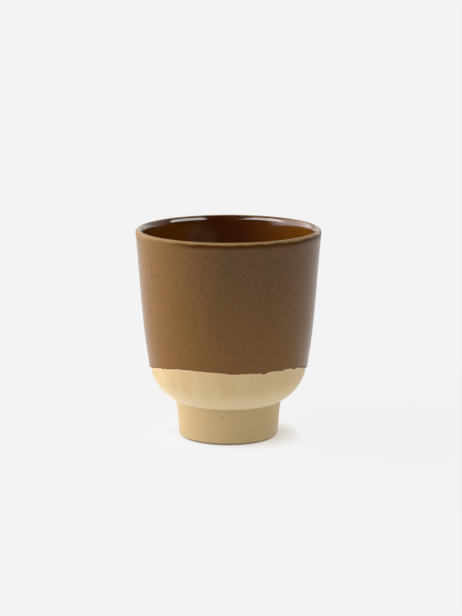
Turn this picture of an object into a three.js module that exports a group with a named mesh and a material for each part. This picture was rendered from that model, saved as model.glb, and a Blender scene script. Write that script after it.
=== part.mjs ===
// A handleless stoneware cup on a tall foot ring, dipped in glaze to a wandering line above the belly.
// Millimetres, +Z up. The origin is the centre of the face that the foot stands on, and -Y is the front.
import * as THREE from 'three';

// Overall sizes
const HEIGHT = 91; // standing face to the top of the glazed lip
const RIM_DIAMETER = 80; // over the glaze

// Foot ring
const FOOT_HEIGHT = 15.8; // standing face to the luted joint
const FOOT_DIAMETER = 43; // low on the side, just above the rounded standing edge
const FOOT_TOP_DIAMETER = 45.6; // at the luted joint
const FOOT_FLARE_SHARE = 0.3; // share of the flare in the lower half, where the side is steeper
const FOOT_WALL = 5; // low on the ring, whose bore is straight
const FOOT_EDGE_ROUND = 2; // outer standing edge
const FOOT_BORE_ROUND = 1.2; // inner standing edge

// Luted joint between the ring and the bowl
const SLIP_THICKNESS = 0.6;
const SLIP_COVE = 0.6; // how far the squeezed slip spreads beyond the ring, outside and inside

// Bowl, in bare clay
const BELLY_DIAMETER = 67; // where the belly turns into the wall
const BELLY_HEIGHT = 13.4; // from the flat underside up to that turn
const BELLY_TURN_ANGLE = 64.2; // part of an ellipse's quarter that the belly runs through, in degrees
const WALL_SWELL = 0.77; // how far the wall stands out past a straight cone, a third of the way up
const WALL_LOW = 3.2; // wall at the belly
const WALL_LIP = 2; // wall at the lip, which is rounded over its full width
const FLOOR = 4.2; // under the inside
const INNER_CORNER = 9; // height and reach of the curve from the inside wall to the floor

// Glaze coats
const OUTER_COAT = 0.4;
const LINER_COAT = 0.35;
const LIP_COAT = 0.3; // on the crest of the lip, where the glaze runs thin
const LIP_BAND = 2.4; // how far the band over the lip reaches down the wall, outside and inside
const DIP_DEPTH = 59.1; // from the top of the lip to the mean glaze line
const EDGE_BEAD = 0.6; // thickness of the bead that gathers along the lower edge
const EDGE_ROUND = 0.5; // height of the rounded edge under the bead
const EDGE_FADE = 4; // height over which the bead thins to the plain coat

// The glaze line's rise and fall round the cup: waves in a turn, share of the swing, and a crest's angle
// from the front in degrees
const LINE_SWING = 3.4; // height of the main wave, which is high at the front
const LINE_WAVES = [
  { count: 1, share: 1, crest: 0 },
  { count: 2, share: 0.35, crest: 0 },
  { count: 3, share: 0.18, crest: 60 },
  { count: 5, share: 0.12, crest: -31 },
  { count: 9, share: 0.035, crest: 12 },
];

// Facets: round the cup, and along each stretch of its section
const SEGMENTS = 54;
const BELLY_ROWS = 9;
const BELLY_CROWDING = 1.5; // rows crowd towards the seat, where the belly turns most
const WALL_ROWS = 7;
const ROUND_ROWS = 4;
const LIP_ROWS = 6;
const CORNER_ROWS = 6;

// Heights and radii that several pieces share
const SEAT_Z = FOOT_HEIGHT + SLIP_THICKNESS;
const BELLY_Z = SEAT_Z + BELLY_HEIGHT;
const FLOOR_Z = SEAT_Z + FLOOR;
const LIP_Z = HEIGHT - LIP_COAT - WALL_LIP / 2;
const BAND_Z = LIP_Z - LIP_BAND;
const LINE_Z = HEIGHT - DIP_DEPTH;
const FOOT_RADIUS = FOOT_DIAMETER / 2;
const FOOT_TOP_RADIUS = FOOT_TOP_DIAMETER / 2;
const FOOT_BORE_RADIUS = FOOT_RADIUS - FOOT_WALL;
const SEAT_RADIUS = FOOT_TOP_RADIUS + SLIP_COVE;
const BELLY_RADIUS = BELLY_DIAMETER / 2;
const LIP_RADIUS = RIM_DIAMETER / 2 - OUTER_COAT;

const point = (radius, height) => new THREE.Vector2(radius, height);

// Even steps from a to b, both included.
function steps(a, b, count) {
  return Array.from({ length: count + 1 }, (_, i) => a + ((b - a) * i) / count);
}

// Points of a part of an ellipse, from one angle to another in degrees.
function round(centre, width, height, from, to, rows) {
  const start = THREE.MathUtils.degToRad(from);
  const end = THREE.MathUtils.degToRad(to);
  return new THREE.EllipseCurve(centre.x, centre.y, width, height, start, end, end < start).getPoints(rows);
}

// The bare clay's outer radius at a height between the seat and the lip. The wall is a cone with a swell
// that peaks a third of the way up, and the belly is an ellipse that leaves the wall along its tangent.
function clayRadius(height) {
  const wallHeight = LIP_Z - BELLY_Z;
  const swell = (share) => share * (1 - share) ** 2;
  const swellScale = WALL_SWELL / swell(1 / 3);
  const drop = BELLY_Z - height;
  if (drop <= 0) {
    const share = -drop / wallHeight;
    return BELLY_RADIUS + (LIP_RADIUS - BELLY_RADIUS) * share + swellScale * swell(share);
  }
  const lean = (LIP_RADIUS - BELLY_RADIUS + swellScale) / wallHeight;
  const reach = Math.sin(THREE.MathUtils.degToRad(BELLY_TURN_ANGLE));
  const turn = (share) => 1 - Math.sqrt(1 - (reach * share) ** 2);
  const depth = BELLY_RADIUS - lean * BELLY_HEIGHT - SEAT_RADIUS;
  return BELLY_RADIUS - lean * drop - (depth * turn(drop / BELLY_HEIGHT)) / turn(1);
}

// A point of the section on the clay's outer face, or on a coat of that thickness over it.
const onClay = (height, coat = 0) => point(clayRadius(height) + coat, height);

// The inside radius of the clay, with a wall that thins evenly towards the lip.
function boreRadius(height) {
  const share = (height - BELLY_Z) / (LIP_Z - BELLY_Z);
  return clayRadius(height) - THREE.MathUtils.lerp(WALL_LOW, WALL_LIP, share);
}

// How far the glaze line stands above its mean height at an angle from the front.
function lineRise(angle) {
  const waves = LINE_WAVES.map(({ count, share, crest }) => {
    return share * Math.cos(count * (angle - THREE.MathUtils.degToRad(crest)));
  });
  return LINE_SWING * waves.reduce((sum, wave) => sum + wave, 0);
}

// Slides the rows of the outer face along the clay, so that the row at the mean line follows the glaze
// line, and rows further off follow it less. Clay and glaze slide alike, so their faces stay together.
function followGlazeLine(geometry) {
  const position = geometry.getAttribute('position');
  const below = LINE_Z - SEAT_Z;
  const above = BAND_Z - LINE_Z;
  for (let i = 0; i < position.count; i += 1) {
    const x = position.getX(i);
    const y = position.getY(i);
    const z = position.getZ(i);
    const radius = Math.hypot(x, y);
    const distance = z < LINE_Z ? (LINE_Z - z) / below : (z - LINE_Z) / above;
    if (distance >= 1 || radius < clayRadius(z) - WALL_LIP / 2) {
      continue;
    }
    const follow = 1 - THREE.MathUtils.smoothstep(distance, 0, 1);
    const height = z + follow * lineRise(Math.atan2(x, -y));
    const scale = (radius + clayRadius(height) - clayRadius(z)) / radius;
    position.setXYZ(i, x * scale, y * scale, height);
  }
  return geometry;
}

// A solid of revolution about Z from a section that closes on itself or runs from axis to axis. A section
// may run either way round, so that two pieces can share a row of facets, and its faces then point out.
function revolve(section) {
  const geometry = new THREE.LatheGeometry(section, SEGMENTS).rotateX(Math.PI / 2);
  if (THREE.ShapeUtils.area(section) < 0) {
    const index = geometry.getIndex();
    for (let i = 0; i < index.count; i += 3) {
      const first = index.getX(i);
      index.setX(i, index.getX(i + 1));
      index.setX(i + 1, first);
    }
  }
  return geometry;
}

// A section's row of points with its own coat on it, each point moved square to the row.
function coated(row, thickness) {
  return row.map((place, i) => {
    const before = row[Math.max(i - 1, 0)];
    const after = row[Math.min(i + 1, row.length - 1)];
    const along = after.clone().sub(before).normalize();
    return point(place.x + along.y * thickness, place.y - along.x * thickness);
  });
}

// Rows of the clay's section that carry a coat, each listed in the direction that the bowl lists it
const bellyRow = steps(0, 1, BELLY_ROWS).map((share) => {
  return onClay(THREE.MathUtils.lerp(SEAT_Z, LINE_Z, share ** BELLY_CROWDING));
});
const wallRow = steps(LINE_Z, BAND_Z, WALL_ROWS).map((height) => onClay(height));
const lipCentre = point(LIP_RADIUS - WALL_LIP / 2, LIP_Z);
const lipRow = [
  onClay(BAND_Z),
  ...round(lipCentre, WALL_LIP / 2, WALL_LIP / 2, 0, 180, LIP_ROWS),
  point(boreRadius(BAND_Z), BAND_Z),
];
const linerRow = linerClay();

// The clay under the liner: down the inside wall, round the corner and along the floor to the axis.
function linerClay() {
  const cornerTop = FLOOR_Z + INNER_CORNER;
  const wall = steps(BAND_Z, cornerTop, WALL_ROWS).map((height) => point(boreRadius(height), height));
  const top = wall.pop();
  const lean = wall.at(-1).clone().sub(top).normalize();
  const elbow = point(top.x - (INNER_CORNER * lean.x) / lean.y, FLOOR_Z);
  const corner = new THREE.QuadraticBezierCurve(top, elbow, point(elbow.x - INNER_CORNER, FLOOR_Z));
  return [...wall, ...corner.getPoints(CORNER_ROWS), point(0, FLOOR_Z)];
}

// The thrown bowl: its underside, belly, wall and lip, then the inside down to the floor.
function makeBowl() {
  const section = [
    point(0, SEAT_Z),
    ...bellyRow,
    ...wallRow.slice(1),
    ...lipRow.slice(1),
    ...linerRow.slice(1),
  ];
  return followGlazeLine(revolve(section));
}

// The ring that the bowl stands on, open underneath, with a side that flares towards the bowl.
function makeFootRing() {
  const edge = point(FOOT_RADIUS - FOOT_EDGE_ROUND, FOOT_EDGE_ROUND);
  const bore = point(FOOT_BORE_RADIUS + FOOT_BORE_ROUND, FOOT_BORE_ROUND);
  const flare = FOOT_TOP_RADIUS - FOOT_RADIUS;
  const side = new THREE.QuadraticBezierCurve(
    point(FOOT_RADIUS, FOOT_EDGE_ROUND),
    point(FOOT_RADIUS + FOOT_FLARE_SHARE * flare, (FOOT_EDGE_ROUND + FOOT_HEIGHT) / 2),
    point(FOOT_TOP_RADIUS, FOOT_HEIGHT),
  );
  const section = [
    point(bore.x, 0),
    ...round(edge, FOOT_EDGE_ROUND, FOOT_EDGE_ROUND, -90, 0, ROUND_ROWS),
    ...side.getPoints(ROUND_ROWS).slice(1),
    point(FOOT_BORE_RADIUS, FOOT_HEIGHT),
    ...round(bore, FOOT_BORE_ROUND, FOOT_BORE_ROUND, 180, 270, ROUND_ROWS),
  ];
  return revolve(section);
}

// The slip between ring and bowl, with a hollow cove on each side where it was squeezed out.
function makeLutingSlip() {
  const outer = point(SEAT_RADIUS, FOOT_HEIGHT);
  const inner = point(FOOT_BORE_RADIUS - SLIP_COVE, FOOT_HEIGHT);
  const section = [
    ...round(outer, SLIP_COVE, SLIP_THICKNESS, 180, 90, ROUND_ROWS),
    ...round(inner, SLIP_COVE, SLIP_THICKNESS, 90, 0, ROUND_ROWS),
    point(FOOT_TOP_RADIUS, FOOT_HEIGHT),
  ];
  return revolve(section);
}

// The poured coat on the inside, from the band over the lip to the floor.
function makeLinerGlaze() {
  const face = coated(linerRow, LINER_COAT);
  face[0] = point(linerRow[0].x - LINER_COAT, BAND_Z);
  const section = [...face.reverse(), ...linerRow];
  return revolve(section);
}

// The band over the lip, thinnest on the crest, where it meets the two other coats edge to edge.
function makeLipGlaze() {
  const crest = round(lipCentre, WALL_LIP / 2 + OUTER_COAT, WALL_LIP / 2 + LIP_COAT, 90, 0, LIP_ROWS / 2);
  const bore = round(lipCentre, WALL_LIP / 2 + LINER_COAT, WALL_LIP / 2 + LIP_COAT, 180, 90, LIP_ROWS / 2);
  const section = [
    ...lipRow,
    point(lipRow.at(-1).x - LINER_COAT, BAND_Z),
    ...bore,
    ...crest.slice(1),
    point(lipRow[0].x + OUTER_COAT, BAND_Z),
    lipRow[0],
  ];
  return revolve(section);
}

// The dipped coat: up the clay from the glaze line, down its own face, and round the bead at its edge.
function makeOuterGlaze() {
  const beadZ = LINE_Z + EDGE_ROUND;
  const face = steps(BAND_Z, beadZ + EDGE_FADE, WALL_ROWS).map((height) => onClay(height, OUTER_COAT));
  const bead = steps(1, 0, ROUND_ROWS).map((share) => {
    const ease = THREE.MathUtils.smoothstep(share, 0, 1);
    return onClay(beadZ + EDGE_FADE * share, THREE.MathUtils.lerp(EDGE_BEAD, OUTER_COAT, ease));
  });
  const edge = round(point(0, beadZ), EDGE_BEAD, EDGE_ROUND, 0, -90, ROUND_ROWS);
  const section = [
    ...wallRow,
    ...face.slice(0, -1),
    ...bead,
    ...edge.slice(1).map((place) => onClay(place.y, place.x)),
  ];
  return followGlazeLine(revolve(section));
}

const cup = new THREE.Group();

function addPiece(name, geometry, color, roughness) {
  const mesh = new THREE.Mesh(geometry, new THREE.MeshStandardMaterial({ color, roughness, metalness: 0 }));
  mesh.name = name;
  cup.add(mesh);
}

addPiece('bowl', makeBowl(), 0xc9ab7c, 0.85);
addPiece('foot_ring', makeFootRing(), 0xc4a473, 0.85);
addPiece('luting_slip', makeLutingSlip(), 0xb3925f, 0.9);
addPiece('liner_glaze', makeLinerGlaze(), 0x3c1d0c, 0.15);
addPiece('lip_glaze', makeLipGlaze(), 0xb58350, 0.25);
addPiece('outer_glaze', makeOuterGlaze(), 0x6e4e33, 0.45);

export default cup;
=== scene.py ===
import math
from collections import namedtuple

import bpy
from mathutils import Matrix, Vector


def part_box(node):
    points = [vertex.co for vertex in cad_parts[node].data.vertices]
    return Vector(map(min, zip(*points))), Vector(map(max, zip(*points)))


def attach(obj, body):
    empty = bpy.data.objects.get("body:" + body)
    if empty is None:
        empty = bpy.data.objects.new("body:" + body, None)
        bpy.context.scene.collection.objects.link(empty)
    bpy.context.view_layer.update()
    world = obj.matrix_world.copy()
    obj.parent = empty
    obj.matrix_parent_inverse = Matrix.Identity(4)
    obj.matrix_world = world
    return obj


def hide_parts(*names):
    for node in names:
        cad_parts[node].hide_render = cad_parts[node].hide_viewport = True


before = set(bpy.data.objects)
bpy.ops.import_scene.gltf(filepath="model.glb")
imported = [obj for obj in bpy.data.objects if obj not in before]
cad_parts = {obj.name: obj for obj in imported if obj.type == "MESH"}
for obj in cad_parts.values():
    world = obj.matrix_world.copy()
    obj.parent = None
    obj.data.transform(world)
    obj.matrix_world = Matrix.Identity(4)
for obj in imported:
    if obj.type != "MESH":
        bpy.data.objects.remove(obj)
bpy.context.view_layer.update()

bl_info = {
    "name": "Dipped Stoneware Cup",
    "version": (1, 0, 0),
    "blender": (4, 5, 0),
    "location": "3D View > Sidebar > Cup",
    "description": "Turns a footed stoneware cup, glazes it and sets it on a pale studio floor",
    "category": "Object",
}

MM = 0.001

# What the frame already holds: the faces that the pieces share
FOOT_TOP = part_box("foot_ring")[1]
SLIP_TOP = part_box("luting_slip")[1]
LINER_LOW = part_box("liner_glaze")[0]
LIP_LOW, LIP_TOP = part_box("lip_glaze")

# The glaze line's rise and fall: waves in a turn, share of the swing, and a crest's angle from the front
Wave = namedtuple("Wave", "count share crest")
GLAZE_LINE = (
    Wave(1, 0.858, -2),
    Wave(2, 0.277, -3),
    Wave(3, 0.203, -57),
    Wave(4, 0.021, -26),
    Wave(5, 0.121, -29),
    Wave(6, 0.058, 0),
)

# The runs that hang under the line in front: angle from the front, reach to each side, and drop
Run = namedtuple("Run", "angle reach drop")
GLAZE_RUNS = (
    Run(-46, 6, 0.22 * MM),
    Run(3, 7, 0.25 * MM),
    Run(25, 3, 0.6 * MM),
    Run(38, 5, 0.25 * MM),
)

# A point of a section: follow is how much it slides with the glaze line, coat is its share of the glaze's
# own unevenness, past_crest is its distance from the top of the lip, and bare marks clay that shows.
Point = namedtuple("Point", "radius height follow coat past_crest bare", defaults=(0.0, 0.0, 0.0, 0.0))

# The lit panels of the room: angles in degrees, left of the camera and above the floor, a soft edge as a
# share of the panel's reach, a brightness against white, and a roll in degrees that drops the right end
Softbox = namedtuple("Softbox", "azimuth elevation width height edge brightness roll", defaults=(0.0,))
SOFTBOXES = (
    Softbox(102, 20, 76, 40, 0.45, 3.6),
    Softbox(-130, 22, 60, 44, 0.6, 0.85),
    Softbox(-125, 62, 40, 30, 0.3, 0.3),
    Softbox(180, 7, 130, 26, 0.3, 0.8),
    Softbox(50, 32, 72, 5, 0.15, 9.5, -10),
    Softbox(-56, 32, 48, 4.5, 0.15, 8.5, 10),
)

# Patches of a colour in a finish: their width, the levels of noise from which and to which they deepen,
# and a scale up the wall, where less than 1 draws them out
Patches = namedtuple("Patches", "tone width low high upright", defaults=(1.0,))
CLAY_PATCHES = (
    Patches("clay_warm", 16 * MM, 0.4, 0.75),
    Patches("clay_pale", 6 * MM, 0.4, 0.75, 0.3),
    # The sand is finer than the picture's pixels, so its grains are drawn at about one pixel.
    Patches("clay_pale", 0.8 * MM, 0.45, 0.95),
)
SATIN_CLOUDS = (
    Patches("satin_red", 12 * MM, 0.4, 0.7, 0.6),
    Patches("satin_olive", 6 * MM, 0.45, 0.75, 0.6),
)
SATIN_STREAKS = (
    Patches("satin_dark", 2.2 * MM, 0.52, 2.2, 0.12),
    Patches("satin_dark", 1.3 * MM, 0.52, 1.2),
    Patches("satin_tan", 1.0 * MM, 0.55, 1.3),
)
LINER_CLOUDS = (Patches("liner_gold", 16 * MM, 0.5, 0.9),)
TURNING_LINES = (0.06, 0.06, 1.0)  # scale of a noise that is drawn out round the wall
SPECK_EDGE = 0.3  # soft edge of a speck, as a share of its reach
SATIN_LEVEL = 0.26  # reflection level of the satin coat

# Rows of points along each stretch of a section, wider apart where another piece covers it
COVERED_ROWS = 12
COVERED_CORNER_ROWS = 8
COVERED_COAT_ROWS = 8
UNDER_ROWS = 14
BELLY_ROWS = 64
FOOT_ROWS = 40
STANDING_ROWS = 6
STANDING_EDGE_ROWS = 10
BORE_ROWS = 16
EDGE_ROWS = 8
LINER_ROWS = 60
LINER_CORNER_ROWS = 20
BAND_ROWS = 14
LIP_ROWS = 18
COAT_ROWS = 44
BEAD_ROWS = 14
SEAT_CROWDING = 1.5  # power that draws the belly's rows together towards the seat

# Segments in a turn: more where an edge wanders or shines
CLAY_SEGMENTS = 360
LIP_SEGMENTS = 640
LINE_SEGMENTS = 960

TURNING_SEED = 7
NOISE_MIDDLE = 0.5
DRIP_START, DRIP_FULL = 0.55, 0.8  # levels of noise where a small run starts and where it hangs in full
GRAIN_SHAPE = (1.0, 1.0, 0.35)
SHARP_ANGLE = math.radians(40)
MERGE_DISTANCE = 0.001 * MM

# The floor's shadow: the way that the floor leans for it, so that it falls to one side, and its reach
SHADOW_LEAN = (-0.8, -0.42, 0.43)
SHADOW_REACH = 11 * MM
SHADOW_SAMPLES = 16


def linear(code):
    """An sRGB hex colour as linear red, green and blue, with a full alpha."""
    channels = [int(code[i : i + 2], 16) / 255 for i in (1, 3, 5)]
    return (*(c / 12.92 if c <= 0.04045 else ((c + 0.055) / 1.055) ** 2.4 for c in channels), 1.0)


WHITE = linear("#ffffff")


def length(name, description, default):
    """A size in metres, shown in the scene's own unit."""
    return bpy.props.FloatProperty(
        name=name, description=description, default=default, unit="LENGTH", precision=5
    )


def degrees(name, description, default):
    """An angle given in degrees."""
    return bpy.props.FloatProperty(
        name=name, description=description, default=math.radians(default), subtype="ANGLE"
    )


def factor(name, description, default):
    """A share from 0 to 1."""
    return bpy.props.FloatProperty(
        name=name, description=description, default=default, subtype="FACTOR", min=0, max=1
    )


def colour(name, description, code):
    """A colour given as an sRGB hex value."""
    return bpy.props.FloatVectorProperty(
        name=name, description=description, default=linear(code), size=4, subtype="COLOR", min=0, max=1
    )


class CupSizes(bpy.types.PropertyGroup):
    """Sizes of the clay. Those that neighbours seat on come from the frame."""

    height: length("Height", "Standing face to the top of the glazed lip", LIP_TOP.z)
    rim_radius: length("Rim radius", "Over the glaze", LIP_TOP.y)
    band_z: length("Band height", "Where the band over the lip meets the other coats", LIP_LOW.z)
    foot_height: length("Foot height", "Standing face to the luted joint", FOOT_TOP.z)
    foot_top_radius: length("Foot top radius", "At the luted joint", FOOT_TOP.y)
    foot_radius: length("Foot radius", "Low on the side, above the rounded edge", 21.5 * MM)
    foot_flare: factor("Foot flare", "Share of the flare that grows evenly", 0.6)
    foot_bore: length("Foot bore", "Radius of the hollow under the foot", 16.5 * MM)
    foot_edge: length("Foot edge", "Rounding of the outer standing edge", 2 * MM)
    foot_bore_edge: length("Foot bore edge", "Rounding of the inner standing edge", 1.2 * MM)
    seat_z: length("Seat height", "Underside of the bowl", SLIP_TOP.z)
    seat_radius: length("Seat radius", "Where the belly leaves the luted joint", SLIP_TOP.y)
    belly_radius: length("Belly radius", "Where the belly turns into the wall", 33.5 * MM)
    belly_height: length("Belly height", "From the seat up to that turn", 13.4 * MM)
    belly_turn: degrees("Belly turn", "Part of an ellipse's quarter that the belly runs through", 64.2)
    swell: length("Wall swell", "How far the wall stands out past a cone, a third of the way up", 0.77 * MM)
    wall_low: length("Wall at the belly", "Thickness of the clay there", 3.2 * MM)
    wall_lip: length("Wall at the lip", "Thickness of the clay there", 2 * MM)
    floor_z: length("Inside floor", "Height of the clay under the liner", LINER_LOW.z)
    inner_corner: length("Inner corner", "Reach of the curve from the inside wall to the floor", 9 * MM)
    wobble: length("Wobble", "How far the turned clay strays from round", 0.05 * MM)
    wobble_size: length("Wobble size", "Width of one such swelling", 22 * MM)


class GlazeSizes(bpy.types.PropertyGroup):
    """Sizes of the glaze coats and of the line that the cup was dipped to."""

    outer_coat: length("Outer coat", "Thickness of the dipped coat", 0.4 * MM)
    liner_coat: length("Liner coat", "Thickness of the coat poured inside", 0.35 * MM)
    lip_coat: length("Lip coat", "Thickness on the crest of the lip", 0.3 * MM)
    lip_round: length("Lip round", "Reach of the rounding from the crest towards the inside", 0.9 * MM)
    lip_fall: length("Lip fall", "Drop of that rounding", 0.8 * MM)
    lip_slope_height: length("Lip slope", "Height of the slope below that rounding", 0.9 * MM)
    lip_slope: degrees("Lip slope angle", "Of the slope, from upright", 23)
    line_z: length("Glaze line", "Mean height of the dipped edge", 31.6 * MM)
    swing: length("Line swing", "Height of the line's main wave", 3.4 * MM)
    wander: length("Line wander", "Small unevenness of the line", 0.45 * MM)
    wander_size: length("Wander size", "Length of that unevenness along the line", 9 * MM)
    drip: length("Drip", "How far a small run hangs under the line", 0.7 * MM)
    drip_size: length("Drip size", "Length of the line that a small run takes up", 2.4 * MM)
    bead: length("Edge bead", "Thickness of the bead along the dipped edge", 0.6 * MM)
    bead_round: length("Bead rounding", "Height of the rounded edge under the bead", 0.5 * MM)
    bead_fade: length("Bead fade", "Height over which the bead thins to the plain coat", 4 * MM)
    unevenness: length("Coat unevenness", "How much the dipped coat swells and thins", 0.06 * MM)
    unevenness_size: length("Unevenness size", "Width of those swellings", 5 * MM)


class GritSizes(bpy.types.PropertyGroup):
    """The grains that stand in the surface of the bare clay."""

    spacing: length("Grain spacing", "Mean distance between grains", 2.6 * MM)
    smallest: length("Smallest grain", "Radius", 0.06 * MM)
    largest: length("Largest grain", "Radius", 0.17 * MM)
    speck: length("Iron speck", "Radius of the one large speck on the front of the foot", 0.42 * MM)
    speck_height: length("Speck height", "Above the standing face", 12.5 * MM)
    speck_angle: degrees("Speck angle", "Round from the front of the foot, to the right", -6.3)
    speck_tone: factor("Speck tone", "How far the speck is burned, among the grains", 0.93)
    clear: length("Clear of glaze", "Bare stretch under the glaze line", 1 * MM)


class CupColours(bpy.types.PropertyGroup):
    """Colours of the clay and the glazes."""

    clay: colour("Clay", "Buff stoneware", "#d6b984")
    clay_pale: colour("Pale clay", "Where the clay was sponged clean of iron", "#dcc291")
    clay_warm: colour("Warm clay", "Where the fire flashed it", "#d3b17c")
    clay_halo: colour("Clay halo", "The stretch under the glaze line", "#eac898")
    # Painted shade: the foot's clay is darker than the bowl's, as shade under the belly.
    clay_foot_shaded: colour("Foot clay", "The foot, painted darker as shade under the belly", "#c4a775")
    # Painted light: the belly by the joint is paler, as light bounced up from the floor.
    clay_floor_bounce: colour("Floor-bounce clay", "The belly by the joint, painted paler as floor-bounce light", "#e6cfa4")
    # Painted shade: the standing edge is painted dark, as contact shade.
    clay_contact_shade: colour("Standing edge", "Painted contact shade along the foot's lower edge", "#654c32")
    slip: colour("Slip", "The luted joint", "#d0b27e")
    iron: colour("Iron", "Specks that burned out of the clay", "#5d4630")
    satin: colour("Satin glaze", "The dipped coat", "#664522")
    satin_red: colour("Reddish satin", "Where iron came up in it", "#6c462a")
    satin_olive: colour("Olive satin", "Where it stayed matt", "#60461d")
    satin_dark: colour("Dark satin", "Its specks and its lower edge", "#3b2510")
    satin_ochre: colour("Ochre satin", "The thin stretch above the bead", "#885d22")
    # Also painted light: tan towards the left side, where the light falls; elsewhere it draws pale streaks.
    satin_tan: colour("Tan satin", "Pale streaks, and painted light on the left side", "#8f6430")
    liner: colour("Liner", "The coat poured inside", "#572606")
    # Also painted light: gold towards both sides of the liner; elsewhere it draws golden clouds.
    liner_gold: colour("Golden liner", "Golden clouds, and painted light towards both sides", "#86500c")
    caramel: colour("Caramel", "The crest of the lip", "#be9560")
    honey: colour("Honey", "The run under the crest", "#4a2a02")
    floor: colour("Floor", "Seamless pale floor", "#545454")
    shadow: colour("Shadow", "The floor's glow close beside the cup, warmed by the clay", "#c8baa0")


class StageSettings(bpy.types.PropertyGroup):
    """Camera, lights and floor."""

    camera_distance: length("Camera distance", "In front of the cup's axis", 1000 * MM)
    camera_height: length("Camera height", "Above the floor", 250.23 * MM)
    camera_side: length("Camera offset", "To the right of the cup's axis", 1.1 * MM)
    camera_pitch: degrees("Camera pitch", "How far the camera looks down", 10.984)
    camera_lens: bpy.props.FloatProperty(
        name="Focal length", description="On a 36 mm frame", default=137.58, subtype="DISTANCE_CAMERA"
    )
    room: bpy.props.FloatProperty(
        name="Room light", description="Brightness of the white room", default=0.02
    )
    floor_glow: bpy.props.FloatProperty(
        name="Floor glow", description="Light that comes up through the floor", default=0.835
    )
    floor_size: length("Floor size", "Side of the floor", 40.0)


GROUPS = {
    "cup_sizes": CupSizes,
    "glaze_sizes": GlazeSizes,
    "grit_sizes": GritSizes,
    "cup_colours": CupColours,
    "stage_settings": StageSettings,
}


def add(tree, kind, inputs=(), **settings):
    """A new node with its settings. Inputs are linked or set, in order or by name, among those in use."""
    node = tree.nodes.new(kind)
    for name, value in settings.items():
        setattr(node, name, value)
    sockets = [socket for socket in node.inputs if socket.enabled]
    pairs = inputs.items() if isinstance(inputs, dict) else enumerate(inputs)
    for key, value in pairs:
        socket = sockets[key] if isinstance(key, int) else next(s for s in sockets if s.name == key)
        if isinstance(value, bpy.types.Node):
            value = next(output for output in value.outputs if output.enabled)
        if isinstance(value, bpy.types.NodeSocket):
            tree.links.new(value, socket)
        else:
            socket.default_value = value
    return node


# Sections


def steps(start, end, count):
    """Even steps from start to end, both included."""
    return [start + (end - start) * i / count for i in range(count + 1)]


def smoothstep(share):
    """A share from 0 to 1, eased at both ends."""
    share = min(max(share, 0.0), 1.0)
    return share * share * (3 - 2 * share)


def arc(radius, height, width, rise, start, end, count):
    """Points of part of an ellipse about a centre, from one angle to another in degrees."""
    turns = [math.radians(angle) for angle in steps(start, end, count)]
    return [Point(radius + width * math.cos(turn), height + rise * math.sin(turn)) for turn in turns]


def bend(start, elbow, end, count):
    """Points of a curve that leaves start and reaches end along the lines to the elbow."""
    row = []
    for t in steps(0, 1, count):
        shares = ((1 - t) ** 2, 2 * t * (1 - t), t**2)
        radius = sum(share * place.radius for share, place in zip(shares, (start, elbow, end)))
        height = sum(share * place.height for share, place in zip(shares, (start, elbow, end)))
        row.append(Point(radius, height))
    return row


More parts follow.
